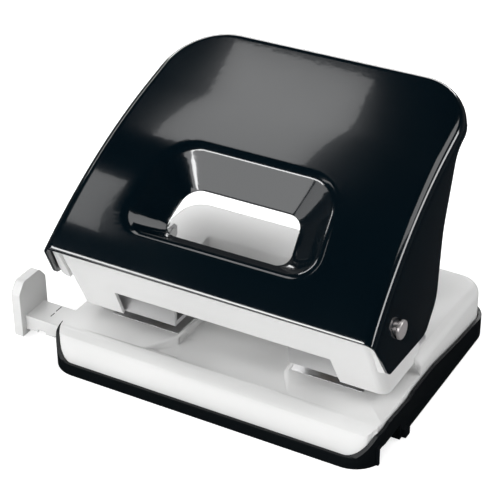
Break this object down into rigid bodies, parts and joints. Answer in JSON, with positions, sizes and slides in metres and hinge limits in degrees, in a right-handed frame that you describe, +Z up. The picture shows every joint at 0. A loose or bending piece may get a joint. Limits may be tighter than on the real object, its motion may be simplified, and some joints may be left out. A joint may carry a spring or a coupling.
{
  "type": "two-hole punch",
  "caption": "Desk two-hole paper punch: a dished pressed-steel lever drives two spring-returned punches over a white base with a sliding paper guide and a black chip tray.",
  "frame": {"origin": "on the surface the punch stands on, below the middle of the line between the two punches", "axes": "+X to the right, +Y from the front edge to the back, +Z up"},
  "size_m": [0.1822, 0.1242, 0.1164],
  "materials": {
    "lever_paint": "high gloss black stove enamel with a faint blue-green cast",
    "white_plastic": "fine satin",
    "black_plastic": "satin",
    "sheet_steel": "zinc-plated",
    "punch_steel": "ground and hardened",
    "spring_steel": "plain drawn wire",
    "rivet_chrome": "polished",
    "bush_bronze": "turned"
  },
  "bodies": {
    "base": {"base_cover": "white_plastic", "mechanism_cover": "white_plastic", "guide_spring": "spring_steel", "punch_frame_left": "sheet_steel", "punch_frame_right": "sheet_steel", "punch_guide_left": "sheet_steel", "punch_guide_right": "sheet_steel", "guide_rivets_left": "sheet_steel", "guide_rivets_right": "sheet_steel", "frame_screws_left": "sheet_steel", "frame_screws_right": "sheet_steel", "punch_bush_left": "bush_bronze", "punch_bush_right": "bush_bronze", "punch_spring_left": "spring_steel", "punch_spring_right": "spring_steel", "side_bracket_left": "sheet_steel", "side_bracket_right": "sheet_steel", "bracket_screw_left": "sheet_steel", "bracket_screw_right": "sheet_steel", "pivot_rivet_left": "rivet_chrome", "pivot_rivet_right": "rivet_chrome", "pivot_washer_left": "white_plastic", "pivot_washer_right": "white_plastic", "hinge_pin_left": "sheet_steel", "hinge_pin_right": "sheet_steel"},
    "lever": {"lever_shell": "lever_paint", "drive_bracket_left": "sheet_steel", "drive_bracket_right": "sheet_steel", "drive_pin_left": "punch_steel", "drive_pin_right": "punch_steel"},
    "punch_left": {"punch_left": "punch_steel", "spring_clip_left": "spring_steel"},
    "punch_right": {"punch_right": "punch_steel", "spring_clip_right": "spring_steel"},
    "paper_guide": {"paper_guide": "white_plastic"},
    "chip_tray": {"chip_tray": "black_plastic"}
  },
  "joints": [
    {"name": "lever_hinge", "type": "hinge", "parent": "base", "child": "lever", "pos_m": [0, -0.0133, 0.0556], "axis": [-1, 0, 0], "range_deg": [0, 33], "stiffness_Nm_per_rad": 0.6, "springref_deg": -20.05},
    {"name": "punch_left_slide", "type": "slide", "parent": "base", "child": "punch_left", "axis": [0, 0, -1], "range_m": [0, 0.008], "deforming": ["punch_spring_left"]},
    {"name": "punch_right_slide", "type": "slide", "parent": "base", "child": "punch_right", "axis": [0, 0, -1], "range_m": [0, 0.008], "deforming": ["punch_spring_right"]},
    {"name": "guide_slide", "type": "slide", "parent": "base", "child": "paper_guide", "axis": [-1, 0, 0], "range_m": [-0.0185, 0.0505]},
    {"name": "tray_hinge", "type": "hinge", "parent": "base", "child": "chip_tray", "pos_m": [0, 0.0854, 0.0095], "axis": [1, 0, 0], "range_deg": [0, 60]}
  ],
  "couplings": [
    {"joint": "punch_left_slide", "follows": "lever_hinge", "m_per_rad": 0.01372},
    {"joint": "punch_right_slide", "follows": "lever_hinge", "m_per_rad": 0.01372}
  ]
}
